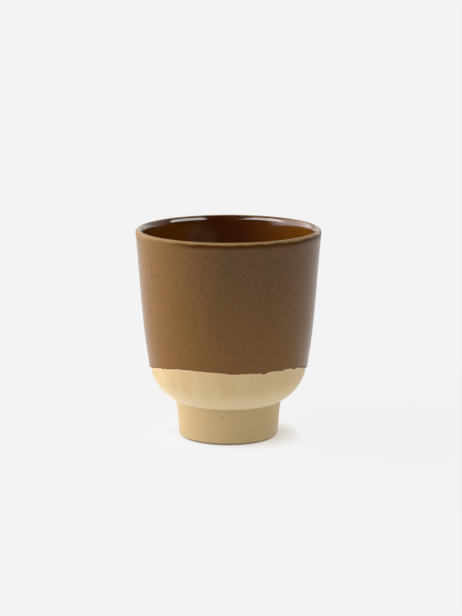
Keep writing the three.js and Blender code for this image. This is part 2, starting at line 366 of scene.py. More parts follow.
class CupSection:
    """The cup's section, worked out from its sizes, with the outline of each piece."""

    def __init__(self, sizes, glaze):
        self.sizes = sizes
        self.glaze = glaze
        self.belly_z = sizes.seat_z + sizes.belly_height
        self.lip_z = sizes.height - glaze.lip_coat - sizes.wall_lip / 2
        self.lip_radius = sizes.rim_radius - glaze.outer_coat
        self.lip_centre = self.lip_radius - sizes.wall_lip / 2

    def clay_radius(self, z):
        """Outer radius of the clay: a cone with a swell, and below it an ellipse along its tangent."""
        sizes = self.sizes
        wall_height = self.lip_z - self.belly_z
        taper = self.lip_radius - sizes.belly_radius
        swell_scale = sizes.swell * 27 / 4  # s (1 - s)² peaks at 4/27
        drop = self.belly_z - z
        if drop <= 0:
            share = -drop / wall_height
            return sizes.belly_radius + taper * share + swell_scale * share * (1 - share) ** 2
        lean = (taper + swell_scale) / wall_height
        reach = math.sin(sizes.belly_turn)
        depth = sizes.belly_radius - lean * sizes.belly_height - sizes.seat_radius
        turned = 1 - math.sqrt(1 - (reach * drop / sizes.belly_height) ** 2)
        return sizes.belly_radius - lean * drop - depth * turned / (1 - math.cos(sizes.belly_turn))

    def clay_lean(self, z):
        """How fast the clay's radius grows with height."""
        step = 0.05 * MM
        return (self.clay_radius(z + step) - self.clay_radius(z - step)) / (2 * step)

    def bore_radius(self, z):
        """Inside radius of the clay, whose wall thins evenly towards the lip."""
        sizes = self.sizes
        share = (z - self.belly_z) / (self.lip_z - self.belly_z)
        return self.clay_radius(z) - (sizes.wall_low + (sizes.wall_lip - sizes.wall_low) * share)

    def on_clay(self, z, thickness=0.0, coat=0.0, bare=0.0):
        """A point on the clay's outer face or on a coat over it. Near the glaze line it follows the line."""
        share = (z - self.glaze.line_z) / (self.sizes.band_z - self.glaze.line_z)
        follow = 0.0 if bare else 1 - smoothstep(share)
        return Point(self.clay_radius(z) + thickness, z, follow, coat, 0.0, bare)

    def inside(self, thickness, wall_rows, corner_rows):
        """Down the inside wall, round the corner and along the floor to the axis, on a coat that thick."""
        sizes = self.sizes
        corner_top = sizes.floor_z + sizes.inner_corner
        heights = steps(sizes.band_z, corner_top, wall_rows)
        wall = [Point(self.bore_radius(z) - thickness, z) for z in heights]
        top = wall.pop()
        lean = (wall[-1].radius - top.radius) / (wall[-1].height - top.height)
        floor_z = sizes.floor_z + thickness
        elbow = Point(top.radius - lean * (top.height - floor_z), floor_z)
        corner = bend(top, elbow, Point(elbow.radius - sizes.inner_corner, floor_z), corner_rows)
        floor = [Point(radius, floor_z) for radius in steps(corner[-1].radius, 0.0, corner_rows)]
        return wall + corner + floor[1:]

    def clay_lip(self, rows):
        """Over the clay's lip, a half round, from outside to inside."""
        half = self.sizes.wall_lip / 2
        return arc(self.lip_centre, self.lip_z, half, half, 0, 180, rows)

    def glazed_lip(self, rows):
        """Over the glazed lip: round to the crest and past it, down a slope and into the liner's face."""
        sizes = self.sizes
        glaze = self.glaze
        lean = math.tan(glaze.lip_slope)
        rise = sizes.height - self.lip_z
        outside = arc(self.lip_centre, self.lip_z, sizes.rim_radius - self.lip_centre, rise, 0, 90, rows)
        top = Point(self.lip_centre - glaze.lip_round, sizes.height - glaze.lip_fall)
        shoulder = Point(top.radius + lean * glaze.lip_fall, sizes.height)
        low = Point(top.radius - lean * glaze.lip_slope_height, top.height - glaze.lip_slope_height)
        wall_top = self.bore_radius(self.lip_z) - glaze.liner_coat
        end = Point(self.bore_radius(sizes.band_z) - glaze.liner_coat, sizes.band_z)
        wall_lean = (wall_top - end.radius) / (self.lip_z - end.height)
        gap = low.radius - end.radius - wall_lean * (low.height - end.height)
        drop = gap / (lean - wall_lean)
        elbow = Point(low.radius - lean * drop, low.height - drop)
        return outside + bend(outside[-1], shoulder, top, rows)[1:] + bend(low, elbow, end, rows)

    def bowl(self):
        """Underside, belly, wall, lip, and the inside down to its floor."""
        sizes = self.sizes
        bare_top = self.glaze.line_z + 2 * self.glaze.swing
        radii = steps(0.0, sizes.seat_radius, UNDER_ROWS)
        under = [Point(radius, sizes.seat_z, bare=1.0) for radius in radii]
        belly = [
            self.on_clay(sizes.seat_z + (bare_top - sizes.seat_z) * share**SEAT_CROWDING, bare=1.0)
            for share in steps(0, 1, BELLY_ROWS)
        ]
        wall = [Point(self.clay_radius(z), z) for z in steps(bare_top, sizes.band_z, COVERED_ROWS)]
        lip = self.clay_lip(COVERED_ROWS)
        hollow = self.inside(0.0, COVERED_ROWS, COVERED_CORNER_ROWS)
        return under + belly[1:] + wall[1:] + lip + hollow

    def foot_side(self, z):
        """Outer radius of the foot, which flares more and more towards the joint."""
        sizes = self.sizes
        share = (z - sizes.foot_edge) / (sizes.foot_height - sizes.foot_edge)
        flared = sizes.foot_flare * share + (1 - sizes.foot_flare) * share**2
        return sizes.foot_radius + (sizes.foot_top_radius - sizes.foot_radius) * flared

    def foot_ring(self):
        """Standing face, outer edge, flared side, joint and bore."""
        sizes = self.sizes
        edge = sizes.foot_edge
        bore = sizes.foot_bore_edge
        side = [Point(self.foot_side(z), z) for z in steps(edge, sizes.foot_height, FOOT_ROWS)]
        inner_radius = sizes.foot_bore + bore
        outer_radius = sizes.foot_radius - edge
        standing = [Point(radius, 0.0) for radius in steps(inner_radius, outer_radius, STANDING_ROWS)]
        outer = arc(outer_radius, edge, edge, edge, -90, 0, STANDING_EDGE_ROWS)
        inner = arc(inner_radius, bore, bore, bore, 180, 270, EDGE_ROWS)
        hollow = [Point(sizes.foot_bore, z) for z in steps(sizes.foot_height, bore, BORE_ROWS)]
        shown = [place._replace(bare=1.0) for place in side[1:] + hollow]
        return standing + outer[1:] + shown + inner[1:-1]

    def luting_slip(self):
        """The layer between ring and bowl, with a cove on each side."""
        sizes = self.sizes
        cove = sizes.seat_radius - sizes.foot_top_radius
        rise = sizes.seat_z - sizes.foot_height
        outer = arc(sizes.seat_radius, sizes.foot_height, cove, rise, 180, 90, EDGE_ROWS)
        inner = arc(sizes.foot_bore - cove, sizes.foot_height, cove, rise, 90, 0, EDGE_ROWS)
        return outer + inner

    def liner(self):
        """The poured coat: its face, then back along the clay."""
        face = self.inside(self.glaze.liner_coat, LINER_ROWS, LINER_CORNER_ROWS)
        return face[::-1] + self.inside(0.0, COVERED_ROWS, COVERED_CORNER_ROWS)

    def lip_band(self):
        """The band over the lip: its face, marked with the distance from the crest, then the clay."""
        sizes = self.sizes
        glaze = self.glaze
        outside = [self.on_clay(z, glaze.outer_coat) for z in steps(sizes.band_z, self.lip_z, BAND_ROWS)]
        face = outside[:-1] + self.glazed_lip(LIP_ROWS)
        runs = [0.0]
        for before, after in zip(face, face[1:]):
            runs.append(runs[-1] + math.hypot(after.radius - before.radius, after.height - before.height))
        crest = max(zip(face, runs), key=lambda pair: pair[0].height)[1]
        face = [place._replace(follow=0.0, past_crest=crest - run) for place, run in zip(face, runs)]
        clay = [Point(self.clay_radius(sizes.band_z), sizes.band_z)]
        clay += self.clay_lip(COVERED_ROWS)
        clay += [Point(self.bore_radius(sizes.band_z), sizes.band_z)]
        return face + clay[::-1]

    def dipped_coat(self):
        """The dipped coat: up the clay from the glaze line, down its face and round its beaded edge."""
        sizes = self.sizes
        glaze = self.glaze
        bead_z = glaze.line_z + glaze.bead_round
        fade_z = bead_z + glaze.bead_fade
        clay = [self.on_clay(z) for z in steps(glaze.line_z, sizes.band_z, COVERED_COAT_ROWS)]
        face = []
        for z in steps(sizes.band_z, fade_z, COAT_ROWS):
            uneven = smoothstep((sizes.band_z - z) / glaze.bead_fade)
            face.append(self.on_clay(z, glaze.outer_coat, uneven))
        for share in steps(1, 0, BEAD_ROWS)[1:]:
            thickness = glaze.bead + (glaze.outer_coat - glaze.bead) * smoothstep(share)
            face.append(self.on_clay(bead_z + glaze.bead_fade * share, thickness, 1.0))
        edge = arc(0.0, bead_z, glaze.bead, glaze.bead_round, 0, -90, EDGE_ROWS)[1:-1]
        rounded = [self.on_clay(place.height, place.radius, place.radius / glaze.bead) for place in edge]
        return clay + face + rounded


# Geometry trees


def geometry_tree(name, inputs):
    """An empty geometry tree with named inputs, and the node that gives them."""
    tree = bpy.data.node_groups.new(name, "GeometryNodeTree")
    tree.interface.new_socket("Geometry", in_out="OUTPUT", socket_type="NodeSocketGeometry")
    for label, kind in inputs.items():
        tree.interface.new_socket(label, in_out="INPUT", socket_type="NodeSocket" + kind)
    return tree, add(tree, "NodeGroupInput").outputs


def end_tree(tree, geometry, material):
    """Ends a tree in plain geometry with its material."""
    whole = add(tree, "GeometryNodeRealizeInstances", [geometry])
    painted = add(tree, "GeometryNodeSetMaterial", {"Geometry": whole, "Material": material})
    add(tree, "NodeGroupOutput", [painted])


def turned_form_tree():
    """Turns a section about Z, from the front to the right. Marked rows slide with the glaze line."""
    tree, given = geometry_tree("Turned form", {
        "Section": "Geometry",
        "Segments": "Int",
        "Wobble": "Float",
        "Wobble Size": "Float",
        "Line Height": "Float",
        "Line Radius": "Float",
        "Swing": "Float",
        "Wander": "Float",
        "Wander Size": "Float",
        "Drip": "Float",
        "Drip Size": "Float",
        "Unevenness": "Float",
        "Unevenness Size": "Float",
        "Seed": "Int",
        "Material": "Material",
    })

    # Sweep the section along a circle, keeping each point's place in the section and its turn
    profile = add(tree, "GeometryNodeMeshToCurve", [given["Section"]])
    placed = add(tree, "GeometryNodeCaptureAttribute", [profile])
    placed.capture_items.new("VECTOR", "Place")
    tree.links.new(add(tree, "GeometryNodeInputPosition").outputs[0], placed.inputs[1])
    circle = add(tree, "GeometryNodeCurvePrimitiveCircle", {"Resolution": given["Segments"]})
    turned = add(tree, "GeometryNodeCaptureAttribute", [circle])
    turned.capture_items.new("FLOAT", "Turn")
    tree.links.new(add(tree, "GeometryNodeSplineParameter").outputs["Factor"], turned.inputs[1])
    swept = add(tree, "GeometryNodeCurveToMesh", [turned, placed])
    angle = add(tree, "ShaderNodeMath", [turned.outputs[1], math.tau], operation="MULTIPLY")
    sine = add(tree, "ShaderNodeMath", [angle], operation="SINE")
    cosine = add(tree, "ShaderNodeMath", [angle], operation="COSINE")
    front = add(tree, "ShaderNodeMath", [cosine, -1.0], operation="MULTIPLY")
    outward = add(tree, "ShaderNodeCombineXYZ", [sine, front, 0.0])
    section = add(tree, "ShaderNodeSeparateXYZ", [placed.outputs[1]])

    # The glaze line: broad waves, then the small wander of a hand dip
    waves = 0.0
    for wave in GLAZE_LINE:
        phase = -wave.count * math.radians(wave.crest)
        turn = add(tree, "ShaderNodeMath", [angle, float(wave.count), phase], operation="MULTIPLY_ADD")
        swing = add(tree, "ShaderNodeMath", [turn], operation="COSINE")
        waves = add(tree, "ShaderNodeMath", [swing, wave.share, waves], operation="MULTIPLY_ADD")
    line_radius = given["Line Radius"]
    ring = add(tree, "ShaderNodeVectorMath", {"Vector": outward, "Scale": line_radius}, operation="SCALE")
    wander_scale = add(tree, "ShaderNodeMath", [1.0, given["Wander Size"]], operation="DIVIDE")
    wander = add(
        tree,
        "ShaderNodeTexNoise",
        {"Vector": ring, "W": given["Seed"], "Scale": wander_scale, "Detail": 3.0, "Roughness": 0.62},
        noise_dimensions="4D",
    )
    stray = add(tree, "ShaderNodeMath", [wander, NOISE_MIDDLE], operation="SUBTRACT")
    stray = add(tree, "ShaderNodeMath", [stray, 2.0], operation="MULTIPLY")
    stray = add(tree, "ShaderNodeMath", [stray, given["Wander"]], operation="MULTIPLY")
    drip_scale = add(tree, "ShaderNodeMath", [1.0, given["Drip Size"]], operation="DIVIDE")
    drip = add(tree, "ShaderNodeTexNoise", {"Vector": ring, "Scale": drip_scale, "Detail": 1.0})
    drip = add(tree, "ShaderNodeMapRange", {
        "Value": drip, "From Min": DRIP_START, "From Max": DRIP_FULL, "To Max": -1.0,
    })
    stray = add(tree, "ShaderNodeMath", [drip, given["Drip"], stray], operation="MULTIPLY_ADD")
    for run in GLAZE_RUNS:
        apart = add(tree, "ShaderNodeMath", [angle, math.radians(run.angle)], operation="SUBTRACT")
        apart = add(tree, "ShaderNodeMath", [apart, math.pi, -math.pi], operation="WRAP")
        apart = add(tree, "ShaderNodeMath", [apart], operation="ABSOLUTE")
        hang = add(
            tree,
            "ShaderNodeMapRange",
            {"Value": apart, "From Min": math.radians(run.reach), "From Max": 0.0},
            interpolation_type="SMOOTHSTEP",
        )
        stray = add(tree, "ShaderNodeMath", [hang, -run.drop, stray], operation="MULTIPLY_ADD")
    rise = add(tree, "ShaderNodeMath", [waves, given["Swing"], stray], operation="MULTIPLY_ADD")
    follow = add(tree, "GeometryNodeInputNamedAttribute", {"Name": "follow"})
    lean = add(tree, "GeometryNodeInputNamedAttribute", {"Name": "lean"})
    slide = add(tree, "ShaderNodeMath", [rise, follow], operation="MULTIPLY")
    height = add(tree, "ShaderNodeMath", [section.outputs["Z"], slide], operation="ADD")
    radius = add(tree, "ShaderNodeMath", [slide, lean, section.outputs["X"]], operation="MULTIPLY_ADD")

    # The turned clay is a little out of round, but true on its axis, and the dipped coat is uneven over it
    upright = add(tree, "ShaderNodeCombineXYZ", [0.0, 0.0, height])
    spot = add(tree, "ShaderNodeVectorMath", [ring, upright], operation="ADD")
    coat = add(tree, "GeometryNodeInputNamedAttribute", {"Name": "coat"})
    off_axis = add(tree, "ShaderNodeMapRange", {"Value": section.outputs["X"], "From Max": line_radius})
    for depth, size, share in (
        ("Wobble", "Wobble Size", off_axis),
        ("Unevenness", "Unevenness Size", coat),
    ):
        scale = add(tree, "ShaderNodeMath", [1.0, given[size]], operation="DIVIDE")
        noise = add(
            tree,
            "ShaderNodeTexNoise",
            {"Vector": spot, "W": given["Seed"], "Scale": scale, "Detail": 1.0},
            noise_dimensions="4D",
        )
        around = add(tree, "ShaderNodeMath", [noise, NOISE_MIDDLE], operation="SUBTRACT")
        around = add(tree, "ShaderNodeMath", [around, given[depth]], operation="MULTIPLY")
        radius = add(tree, "ShaderNodeMath", [around, share, radius], operation="MULTIPLY_ADD")
    flat = add(tree, "ShaderNodeVectorMath", {"Vector": outward, "Scale": radius}, operation="SCALE")
    place = add(tree, "ShaderNodeVectorMath", [flat, upright], operation="ADD")

    # Close the poles, shade by angle and keep the height above the line for the finishes
    shaped = add(tree, "GeometryNodeSetPosition", {"Geometry": swept, "Position": place})
    line = add(tree, "ShaderNodeMath", [rise, given["Line Height"]], operation="ADD")
    above = add(tree, "ShaderNodeMath", [height, line], operation="SUBTRACT")
    measured = add(
        tree, "GeometryNodeStoreNamedAttribute", {"Geometry": shaped, "Name": "above_line", "Value": above}
    )
    closed = add(tree, "GeometryNodeMergeByDistance", {"Geometry": measured, "Distance": MERGE_DISTANCE})
    smooth = add(tree, "GeometryNodeSetShadeSmooth", [closed])
    bent = add(tree, "GeometryNodeInputMeshEdgeAngle")
    sharp = add(tree, "FunctionNodeCompare", [bent, SHARP_ANGLE], operation="GREATER_THAN")
    shaded = add(
        tree,
        "GeometryNodeSetShadeSmooth",
        {"Geometry": smooth, "Selection": sharp, "Shade Smooth": False},
        domain="EDGE",
    )
    end_tree(tree, shaded, given["Material"])
    return tree


def grit_tree():
    """Scatters flattened grains over the bare clay, and sets one iron speck at a marked place."""
    tree, given = geometry_tree("Clay grit", {
        "Clay": "Geometry",
        "Density": "Float",
        "Smallest": "Float",
        "Largest": "Float",
        "Clear Of Glaze": "Float",
        "Marked": "Int",
        "Marked Place": "Vector",
        "Marked Size": "Float",
        "Marked Tone": "Float",
        "Seed": "Int",
        "Material": "Material",
    })
    bare = add(tree, "GeometryNodeInputNamedAttribute", {"Name": "bare"})
    above = add(tree, "GeometryNodeInputNamedAttribute", {"Name": "above_line"})
    shown = add(tree, "FunctionNodeCompare", [bare, 0.5], operation="GREATER_THAN")
    below = add(tree, "ShaderNodeMath", [above, given["Clear Of Glaze"]], operation="ADD")
    below = add(tree, "FunctionNodeCompare", [below, 0.0], operation="LESS_THAN")
    where = add(tree, "FunctionNodeBooleanMath", [shown, below], operation="AND")
    points = add(
        tree,
        "GeometryNodeDistributePointsOnFaces",
        {"Mesh": given["Clay"], "Selection": where, "Density": given["Density"], "Seed": given["Seed"]},
    )
    size = add(
        tree,
        "FunctionNodeRandomValue",
        {"Min": given["Smallest"], "Max": given["Largest"], "Seed": given["Seed"]},
    )
    tone_seed = add(tree, "ShaderNodeMath", [given["Seed"], 1.0], operation="ADD")
    tone = add(tree, "FunctionNodeRandomValue", {"Min": 0.0, "Max": 1.0, "Seed": tone_seed})
    marked = add(tree, "GeometryNodePoints", {"Count": given["Marked"], "Position": given["Marked Place"]})
    together = add(tree, "GeometryNodeJoinGeometry")
    for grains, reach, burn in ((points, size, tone), (marked, given["Marked Size"], given["Marked Tone"])):
        for label, value in (("grain", reach), ("tone", burn)):
            stored = {"Geometry": grains, "Name": label, "Value": value}
            grains = add(tree, "GeometryNodeStoreNamedAttribute", stored)
        tree.links.new(grains.outputs[0], together.inputs[0])
    normal = add(tree, "GeometryNodeInputNormal")
    facing = add(
        tree, "GeometryNodeSampleNearestSurface", [given["Clay"], normal], data_type="FLOAT_VECTOR"
    )
    standing = add(tree, "FunctionNodeAlignRotationToVector", {"Vector": facing}, axis="Z")
    grain = add(tree, "GeometryNodeMeshIcoSphere", {"Radius": 1.0, "Subdivisions": 1})
    grain = add(tree, "GeometryNodeSetShadeSmooth", [grain])
    grain = add(tree, "GeometryNodeTransform", {"Geometry": grain, "Scale": GRAIN_SHAPE})
    reach = add(tree, "GeometryNodeInputNamedAttribute", {"Name": "grain"})
    spread = add(
        tree,
        "GeometryNodeInstanceOnPoints",
        {"Points": together, "Instance": grain, "Rotation": standing, "Scale": reach},
    )
    end_tree(tree, spread, given["Material"])
    return tree


def tree_named(name, make):
    """A geometry tree, made the first time that a piece asks for it."""
    return bpy.data.node_groups.get(name) or make()


def run_tree(piece, tree, values):
    """Runs a geometry tree on a piece and leaves it with the plain mesh that the tree makes."""
    modifier = piece.modifiers.new(tree.name, "NODES")
    modifier.node_group = tree
    for socket in tree.interface.items_tree:
        if socket.in_out == "INPUT" and socket.name in values:
            modifier[socket.identifier] = values[socket.name]
    graph = bpy.context.evaluated_depsgraph_get()
    mesh = bpy.data.meshes.new_from_object(
        piece.evaluated_get(graph), preserve_all_data_layers=True, depsgraph=graph
    )
    if not mesh.polygons:
        raise RuntimeError(f"{piece.name} came out with no faces")
    piece.modifiers.clear()
    mesh.materials.clear()
    mesh.materials.append(values["Material"])
    mesh.polygons.foreach_set("material_index", [0] * len(mesh.polygons))
    source = piece.data
    piece.data = mesh
    bpy.data.meshes.remove(source)
    mesh.name = piece.name


def new_piece(name, mesh):
    """An object at the origin that holds a mesh."""
    piece = bpy.data.objects.new(name, mesh)
    bpy.context.scene.collection.objects.link(piece)
    return piece


def section_mesh(name, points, section):
    """A section as a line of points in the XZ plane, listed so that its turned faces point out."""
    area = sum(a.radius * b.height - b.radius * a.height for a, b in zip(points, points[1:] + points[:1]))
    if area > 0:
        points = points[::-1]
    mesh = bpy.data.meshes.new(name)
    edges = [(i, i + 1) for i in range(len(points) - 1)]
    if points[0].radius or points[-1].radius:
        edges.append((len(points) - 1, 0))
    mesh.from_pydata([(place.radius, 0.0, place.height) for place in points], edges, [])
    columns = {field: [getattr(place, field) for place in points] for field in Point._fields[2:]}
    columns["lean"] = [section.clay_lean(place.height) if place.follow else 0.0 for place in points]
    for field, values in columns.items():
        mesh.attributes.new(field, "FLOAT", "POINT").data.foreach_set("value", values)
    return mesh


def turn_piece(name, node, outline, segments, material):
    """Turns one of the cup's sections into a finished piece that stands for its node."""
    scene = bpy.context.scene
    sizes, glaze = scene.cup_sizes, scene.glaze_sizes
    section = CupSection(sizes, glaze)
    piece = new_piece(name, section_mesh(name + "_section", outline(section), section))
    run_tree(piece, tree_named("Turned form", turned_form_tree), {
        "Segments": segments,
        "Wobble": sizes.wobble,
        "Wobble Size": sizes.wobble_size,
        "Line Height": glaze.line_z,
        "Line Radius": section.clay_radius(glaze.line_z),
        "Swing": glaze.swing,
        "Wander": glaze.wander,
        "Wander Size": glaze.wander_size,
        "Drip": glaze.drip,
        "Drip Size": glaze.drip_size,
        "Unevenness": glaze.unevenness,
        "Unevenness Size": glaze.unevenness_size,
        "Seed": TURNING_SEED,
        "Material": material,
    })
    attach(piece, "root")
    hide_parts(node)
    return piece


# Finishes


def new_material(name):
    """An empty material, its tree, and the socket that gives a point's place on the piece."""
    material = bpy.data.materials.new(name)
    material.use_nodes = True
    tree = material.node_tree
    tree.nodes.clear()
    return material, tree, add(tree, "ShaderNodeTexCoord").outputs["Object"]


def overlay(tree, ground, tint, value, start, end, most=1.0):
    """A tint that comes over a ground as a value goes from start to end, up to a share of most."""
    amount = add(tree, "ShaderNodeMapRange", {
        "Value": value, "From Min": start, "From Max": end, "To Max": most,
    })
    return add(tree, "ShaderNodeMix", [amount, ground, tint], data_type="RGBA")


def mottle(tree, place, ground, patches, colours):
    """Patches of colour over a ground, each kind over the one before."""
    for patch in patches:
        spot = add(tree, "ShaderNodeMapping", {"Vector": place, "Scale": (1.0, 1.0, patch.upright)})
        noise = add(tree, "ShaderNodeTexNoise", {"Vector": spot, "Scale": 1 / patch.width, "Detail": 2.0})
        ground = overlay(tree, ground, getattr(colours, patch.tone), noise, patch.low, patch.high)
    return ground


def specks(tree, place, ground, speck, spacing, reach):
    """Round specks over a ground, one to a cell of that spacing, most of them smaller than their reach."""
    cells = add(tree, "ShaderNodeTexVoronoi", {"Vector": place, "Scale": 1 / spacing})
    chance = add(tree, "ShaderNodeSeparateColor", [cells.outputs["Color"]])
    limit = add(tree, "ShaderNodeMath", [chance, reach / spacing], operation="MULTIPLY")
    within = add(tree, "ShaderNodeMath", [limit, cells], operation="SUBTRACT")
    return overlay(tree, ground, speck, within, 0.0, SPECK_EDGE * reach / spacing)


def relief(tree, place, size, depth, detail=2.0, under=None):
    """Bumps of that size and depth, over any that lie under them."""
    noise = add(tree, "ShaderNodeTexNoise", {"Vector": place, "Scale": 1 / size, "Detail": detail})
    bumps = add(tree, "ShaderNodeBump", {"Height": noise, "Distance": depth})
    if under:
        tree.links.new(under.outputs["Normal"], bumps.inputs["Normal"])
    return bumps


def shade(tree, values):
    """The surface shader and the material's output."""
    shader = add(tree, "ShaderNodeBsdfPrincipled", values)
    add(tree, "ShaderNodeOutputMaterial", [shader])


def satin_colour(tree, place, colours):
    """Cloudy browns with fine specks, faint streaks down the wall, as the glaze ran, and painted light that
    pales the left side to tan.
    """
    tint = mottle(tree, place, colours.satin, SATIN_CLOUDS, colours)
    across = add(tree, "ShaderNodeSeparateXYZ", [place]).outputs["X"]
    # Painted light: the glaze turns tan towards the left side, where the light falls.
    tint = overlay(tree, tint, colours.satin_tan, across, start=-4 * MM, end=-36 * MM)
    tint = mottle(tree, place, tint, SATIN_STREAKS, colours)
    return specks(tree, place, tint, colours.satin_dark, spacing=4.5 * MM, reach=0.5 * MM)


def liner_colour(tree, place, colours):
    """A deep red brown with broad golden clouds, and painted light that turns it golden towards both sides.
    """
    # Painted light: the liner turns golden towards both sides, as the light on its ends.
    across = add(tree, "ShaderNodeSeparateXYZ", [place]).outputs["X"]
    aside = add(tree, "ShaderNodeMath", [across], operation="ABSOLUTE")
    tint = overlay(tree, colours.liner, colours.liner_gold, aside, start=6 * MM, end=26 * MM, most=0.5)
    return mottle(tree, place, tint, LINER_CLOUDS, colours)


def stoneware(name, ground, floor_bounce_tint, colours):
    """Buff stoneware, turned, sponged and fired bare: dry, sandy and lit evenly from every side, with
    painted floor-bounce light low on the belly and painted contact shade on the standing edge.
    """
    material, tree, place = new_material(name)
    above = add(tree, "ShaderNodeAttribute", attribute_name="above_line").outputs["Fac"]
    height = add(tree, "ShaderNodeSeparateXYZ", [place]).outputs["Z"]
    tint = mottle(tree, place, ground, CLAY_PATCHES, colours)
    tint = specks(tree, place, tint, colours.iron, spacing=4 * MM, reach=0.2 * MM)
    # Painted light: low on the belly the clay turns paler, as floor-bounce light.
    tint = overlay(tree, tint, floor_bounce_tint, height, start=26 * MM, end=17 * MM)
    # Painted shade: the standing edge turns dark towards the floor, as contact shade.
    tint = overlay(tree, tint, colours.clay_contact_shade, height, start=1.5 * MM, end=0.5 * MM)
    tint = overlay(tree, tint, colours.clay_halo, above, start=-1.1 * MM, end=-0.2 * MM)
    turned = add(tree, "ShaderNodeMapping", {"Vector": place, "Scale": TURNING_LINES})
    lines = relief(tree, turned, size=1.4 * MM, depth=0.02 * MM)
    sand = relief(tree, place, size=0.7 * MM, depth=0.05 * MM, detail=3.0, under=lines)
    shade(tree, {
        "Base Color": tint,
        "Roughness": 0.6,
        "IOR": 1.5,
        "Sheen Weight": 0.4,
        "Sheen Roughness": 0.35,
        "Normal": sand,
    })
    return material


def grog(colours):
    """Grains of fired clay and iron in the surface: most a shade off the clay, a few burned dark."""
    material, tree, _ = new_material("fired_grog")
    tone = add(tree, "ShaderNodeAttribute", attribute_name="tone").outputs["Fac"]
    tint = overlay(tree, colours.clay_pale, colours.clay_warm, tone, start=0.0, end=1.0)
    tint = overlay(tree, tint, colours.iron, tone, start=0.86, end=0.97)
    shade(tree, {"Base Color": tint, "Roughness": 0.8, "IOR": 1.5, "Specular IOR Level": 0.3})
    return material


def satin_glaze(colours):
    """Iron glaze, dipped and fired to a satin: soft reflections, cloudy browns, dark where it gathered and
    with painted shade under the bead.
    """
    material, tree, place = new_material("satin_iron_glaze")
    above = add(tree, "ShaderNodeAttribute", attribute_name="above_line").outputs["Fac"]
    tint = satin_colour(tree, place, colours)
    tint = overlay(tree, tint, colours.satin_ochre, above, start=45 * MM, end=2 * MM, most=0.55)
    # Dark along the lower edge: gathered glaze, and painted shade under the bead.
    tint = overlay(tree, tint, colours.satin_dark, above, start=0.9 * MM, end=0.4 * MM, most=0.15)
    dry = add(tree, "ShaderNodeMapRange", {
        "Value": above, "From Min": 1.0 * MM, "From Max": 0.3 * MM, "To Min": 0.3, "To Max": 0.8,
    })
    shade(tree, {
        "Base Color": tint,
        "Roughness": dry,
        "IOR": 1.5,
        "Specular IOR Level": SATIN_LEVEL,
        "Sheen Weight": 0.5,
        "Sheen Roughness": 0.28,
        "Normal": relief(tree, place, size=1.5 * MM, depth=0.03 * MM),
    })
    return material


def gloss_liner(colours):
    """Iron glaze poured inside and fired glossy: deep colour with sharp reflections that waver a little."""
    material, tree, place = new_material("gloss_iron_liner")
    shade(tree, {
        "Base Color": liner_colour(tree, place, colours),
        "Roughness": 0.1,
        "IOR": 1.5,
        "Normal": relief(tree, place, size=6 * MM, depth=0.04 * MM, detail=1.0),
    })
    return material


def lip_glaze(colours):
    """The two glazes where they meet: thin and caramel on the crest, gathered to a dark line under it."""
    material, tree, place = new_material("caramel_lip_glaze")
    stray_width = 6 * MM
    stray_reach = 1.1 * MM

    # How far the glaze has run down the outside from the crest, a little more here and less there
    past_crest = add(tree, "ShaderNodeAttribute", attribute_name="past_crest").outputs["Fac"]
    stray = add(tree, "ShaderNodeTexNoise", {"Vector": place, "Scale": 1 / stray_width, "Detail": 2.0})
    stray = add(tree, "ShaderNodeMath", [stray, NOISE_MIDDLE], operation="SUBTRACT")
    run = add(tree, "ShaderNodeMath", [stray, stray_reach, past_crest], operation="MULTIPLY_ADD")

    # From inside to outside: the liner, the caramel crest, the dark line, which is painted fainter
    # on the lit left side as painted light, and the satin coat
    inside = liner_colour(tree, place, colours)
    outside = satin_colour(tree, place, colours)
    tint = overlay(tree, inside, colours.caramel, run, start=-0.9 * MM, end=-0.2 * MM)
    gathered = add(tree, "ShaderNodeMapRange", {"Value": run, "From Min": 1.0 * MM, "From Max": 2.0 * MM})
    # Painted light: the dark line fades towards the left, where the light falls.
    across = add(tree, "ShaderNodeSeparateXYZ", [place]).outputs["X"]
    depth = add(tree, "ShaderNodeMapRange", {
        "Value": across, "From Min": -36 * MM, "From Max": -14 * MM, "To Min": 0.4, "To Max": 1.0,
    })
    gathered = add(tree, "ShaderNodeMath", [gathered, depth], operation="MULTIPLY")
    tint = add(tree, "ShaderNodeMix", [gathered, tint, colours.honey], data_type="RGBA")
    coat = add(tree, "ShaderNodeMapRange", {"Value": run, "From Min": 2.5 * MM, "From Max": 4.0 * MM})
    tint = add(tree, "ShaderNodeMix", [coat, tint, outside], data_type="RGBA")

    # Glassy inside, under a clear coat, and satin outside
    satin = add(tree, "ShaderNodeMapRange", {
        "Value": run, "From Min": 1.2 * MM, "From Max": 1.9 * MM, "To Min": 0.08, "To Max": 0.35,
    })
    level = add(tree, "ShaderNodeMapRange", {"Value": coat, "To Min": 0.05, "To Max": SATIN_LEVEL})
    clear = add(tree, "ShaderNodeMapRange", {
        "Value": run, "From Min": 0.5 * MM, "From Max": -0.4 * MM, "To Max": 0.75,
    })
    shade(tree, {
        "Base Color": tint,
        "Roughness": satin,
        "IOR": 1.5,
        "Specular IOR Level": level,
        "Coat Weight": clear,
        "Coat Roughness": 0.07,
        "Coat IOR": 1.6,
        "Sheen Weight": 0.2,
        "Sheen Roughness": 0.28,
    })
    return material


def matt_floor(colours, glow):
    """Seamless studio paper: flat white and lit from below, so shadows stay faint, but dim by the cup."""
    material, tree, _ = new_material("matt_paper_floor")
    lean = add(tree, "ShaderNodeCombineXYZ", SHADOW_LEAN)
    open_air = add(
        tree,
        "ShaderNodeAmbientOcclusion",
        {"Distance": SHADOW_REACH, "Normal": lean},
        samples=SHADOW_SAMPLES,
    )
    warmth = overlay(tree, colours.shadow, WHITE, open_air.outputs["AO"], start=0.0, end=1.0)
    shade(tree, {
        "Base Color": colours.floor,
        "Roughness": 1.0,
        "Specular IOR Level": 0.0,
        "Emission Color": warmth,
        "Emission Strength": glow,
    })
    return material


# Operators


class CupStep:
    """What every step of the making shares."""

    bl_options = {"REGISTER", "UNDO"}


